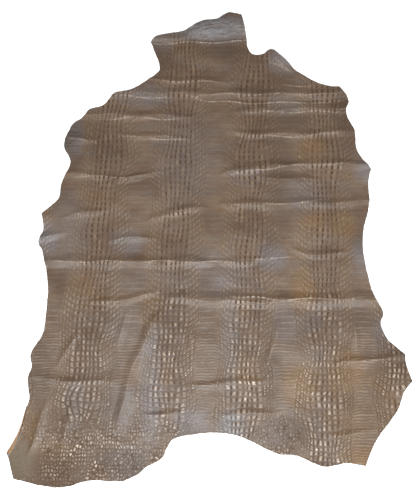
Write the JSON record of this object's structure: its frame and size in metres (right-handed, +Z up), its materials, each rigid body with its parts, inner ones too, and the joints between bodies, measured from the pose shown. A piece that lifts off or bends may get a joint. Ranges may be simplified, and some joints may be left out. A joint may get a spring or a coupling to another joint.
{
  "type": "embossed leather hide",
  "caption": "Whole tanned hide of brown leather embossed with rows of scales, lying flat with low folds, lifted edges and one rolled edge.",
  "frame": {"origin": "on the surface that the hide lies on, under the middle of its bounding box", "axes": "+Z up out of the grain side, +Y toward the neck along the back, +X to the right as seen from above with the neck away"},
  "size_m": [0.8712, 1.098, 0.0166],
  "materials": {
    "leather": "semi-gloss grain side with an embossed scale pattern, matt tan flesh side"
  },
  "bodies": {
    "root": {"hide": "leather"}
  },
  "joints": []
}
